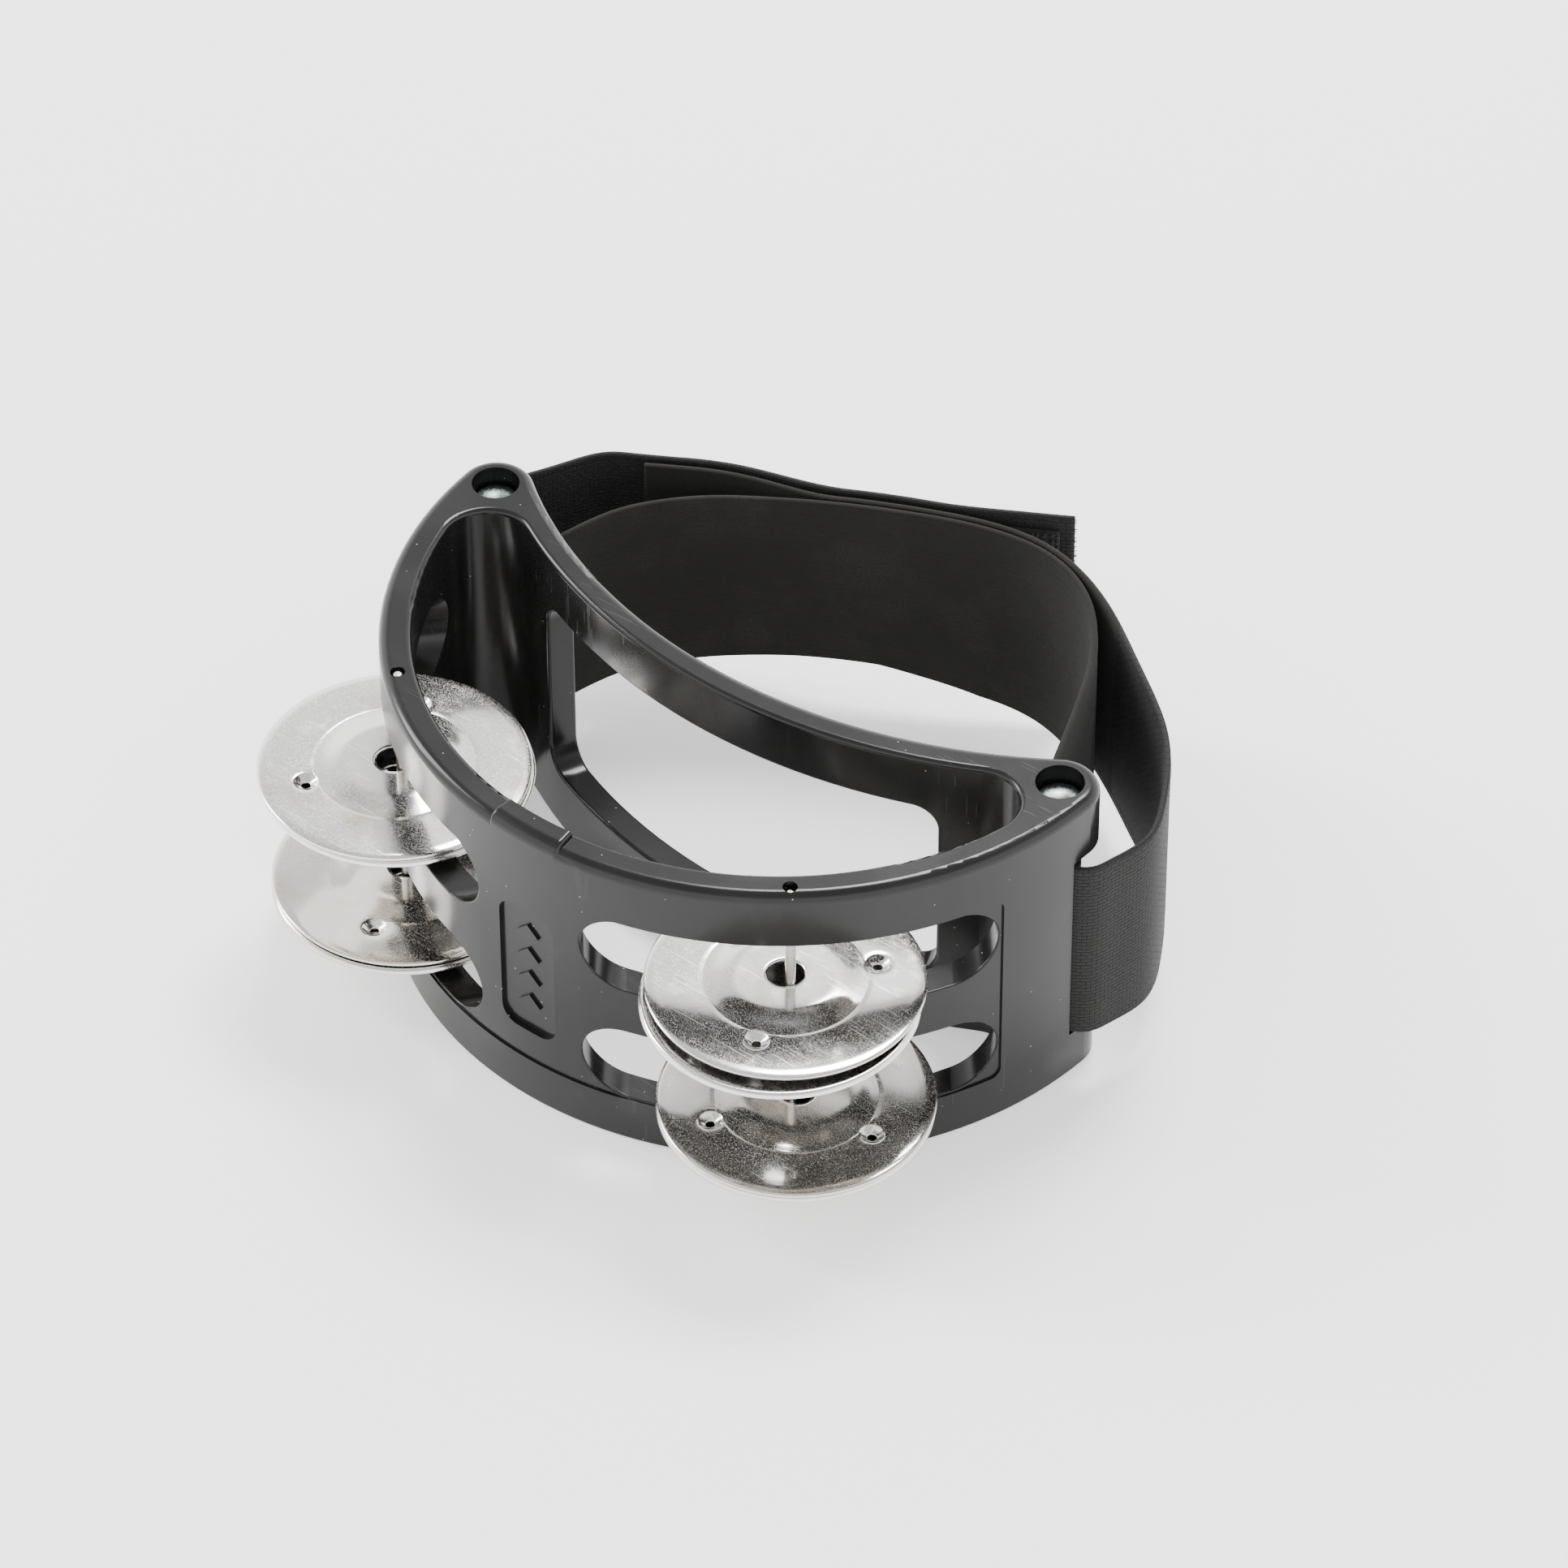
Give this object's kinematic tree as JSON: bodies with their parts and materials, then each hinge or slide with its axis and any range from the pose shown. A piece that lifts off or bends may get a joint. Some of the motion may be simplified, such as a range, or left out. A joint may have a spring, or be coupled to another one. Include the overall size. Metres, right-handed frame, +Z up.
{
  "type": "foot tambourine",
  "caption": "Foot tambourine: black moulded crescent frame with pairs of metal jingles on upright pins and an elastic hook-and-loop strap round two steel posts.",
  "frame": {"origin": "middle of the object's bounding box in plan, on the surface that the frame stands on", "axes": "+Z up along the jingle pins and strap posts, +Y towards the strap and the player's foot, +X to the right when looking along +Y"},
  "size_m": [0.1546, 0.15, 0.065],
  "materials": {
    "frame_plastic": "gloss black moulding",
    "post_steel": "zinc plated",
    "pin_steel": "plain steel",
    "jingle_nickel": "nickel plated, lightly scratched",
    "strap_webbing": "soft black elastic webbing",
    "hook_tape": "rough black hook tape"
  },
  "bodies": {
    "body_frame": {"frame": "frame_plastic", "strap_post_left": "post_steel", "strap_post_right": "post_steel", "jingle_pin_left": "pin_steel", "jingle_pin_right": "pin_steel", "strap_loop": "strap_webbing"},
    "left_lower_bottom_jingle": {"jingle_left_lower_bottom": "jingle_nickel"},
    "left_lower_top_jingle": {"jingle_left_lower_top": "jingle_nickel"},
    "left_upper_bottom_jingle": {"jingle_left_upper_bottom": "jingle_nickel"},
    "left_upper_top_jingle": {"jingle_left_upper_top": "jingle_nickel"},
    "right_lower_bottom_jingle": {"jingle_right_lower_bottom": "jingle_nickel"},
    "right_lower_top_jingle": {"jingle_right_lower_top": "jingle_nickel"},
    "right_upper_bottom_jingle": {"jingle_right_upper_bottom": "jingle_nickel"},
    "right_upper_top_jingle": {"jingle_right_upper_top": "jingle_nickel"},
    "tail": {"strap_tail": "strap_webbing", "hook_tape": "hook_tape"}
  },
  "joints": [
    {"name": "left_lower_spin", "type": "hinge", "parent": "body_frame", "child": "left_lower_bottom_jingle", "pos_m": [-0.04494, -0.0484, 0.01], "axis": [0, 0, 1], "continuous": true},
    {"name": "left_lower_rattle", "type": "slide", "parent": "left_lower_bottom_jingle", "child": "left_lower_top_jingle", "axis": [0, 0, 1], "range_m": [0, 0.0106]},
    {"name": "left_upper_spin", "type": "hinge", "parent": "body_frame", "child": "left_upper_bottom_jingle", "pos_m": [-0.04494, -0.0484, 0.036], "axis": [0, 0, 1], "continuous": true},
    {"name": "left_upper_rattle", "type": "slide", "parent": "left_upper_bottom_jingle", "child": "left_upper_top_jingle", "axis": [0, 0, 1], "range_m": [0, 0.0106]},
    {"name": "right_lower_spin", "type": "hinge", "parent": "body_frame", "child": "right_lower_bottom_jingle", "pos_m": [0.04489, -0.0484, 0.01], "axis": [0, 0, 1], "continuous": true},
    {"name": "right_lower_rattle", "type": "slide", "parent": "right_lower_bottom_jingle", "child": "right_lower_top_jingle", "axis": [0, 0, 1], "range_m": [0, 0.0106]},
    {"name": "right_upper_spin", "type": "hinge", "parent": "body_frame", "child": "right_upper_bottom_jingle", "pos_m": [0.04489, -0.0484, 0.036], "axis": [0, 0, 1], "continuous": true},
    {"name": "right_upper_rattle", "type": "slide", "parent": "right_upper_bottom_jingle", "child": "right_upper_top_jingle", "axis": [0, 0, 1], "range_m": [0, 0.0106]},
    {"name": "tail_peel", "type": "hinge", "parent": "body_frame", "child": "tail", "pos_m": [-0.05123, 0.04437, 0.0297], "axis": [0, 0, 1], "range_deg": [0, 75]}
  ]
}
